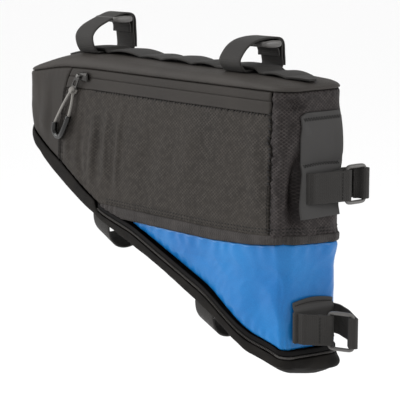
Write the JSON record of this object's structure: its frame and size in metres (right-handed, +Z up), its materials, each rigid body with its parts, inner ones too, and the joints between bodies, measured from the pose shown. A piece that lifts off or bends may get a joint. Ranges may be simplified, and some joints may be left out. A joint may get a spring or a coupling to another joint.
{
  "type": "bicycle frame bag",
  "caption": "Long tapering cloth bag that straps inside a bicycle frame, with a padded lid, a side zip, a fold-out lower part and webbing loops.",
  "frame": {"origin": "on the axis of the bicycle's top tube, midway between the two top strap loops, in the bag's middle plane", "axes": "+X along the top of the bag to the seat-tube end, -Y to the side with the zip, +Z up"},
  "size_m": [0.3979, 0.0925, 0.2924],
  "materials": {
    "coated_cloth": "smooth coated cloth, dull",
    "black_ripstop": "fine diamond ripstop weave",
    "grey_binding": "ribbed binding",
    "blue_nylon": "thin bright blue nylon with a soft sheen",
    "dark_cloth": "plain dark weave",
    "zip_coil": "nylon coil",
    "webbing": "ribbed webbing",
    "grey_plastic": "moulded, satin",
    "rubberised_cloth": "smooth rubberised patch",
    "dark_metal": "gunmetal",
    "cord": "braided cord",
    "black_sleeve": "glossy black"
  },
  "bodies": {
    "root": {"top_panel": "coated_cloth", "front_panel": "coated_cloth", "pocket_panel": "black_ripstop", "zip_tape_upper": "coated_cloth", "zip_tape_lower": "coated_cloth", "rear_panel": "black_ripstop", "far_panel": "black_ripstop", "trim_band": "grey_binding", "lower_shell": "blue_nylon", "expansion_tape": "dark_cloth", "expansion_coil": "zip_coil", "down_tube_band": "dark_cloth", "daisy_tape": "webbing", "top_strap_front": "webbing", "top_strap_rear": "webbing", "top_ring_front": "grey_plastic", "top_ring_rear": "grey_plastic", "down_strap_front": "webbing", "down_strap_rear": "webbing", "seat_patch_upper": "rubberised_cloth", "seat_patch_lower": "rubberised_cloth", "seat_strap_upper": "webbing", "seat_strap_lower": "webbing", "seat_ring_upper": "grey_plastic", "seat_ring_lower": "grey_plastic", "zip_slider": "dark_metal", "pull_tab": "dark_metal", "pull_knot": "cord", "pull_cord": "cord", "pull_clip": "black_sleeve"}
  },
  "joints": []
}
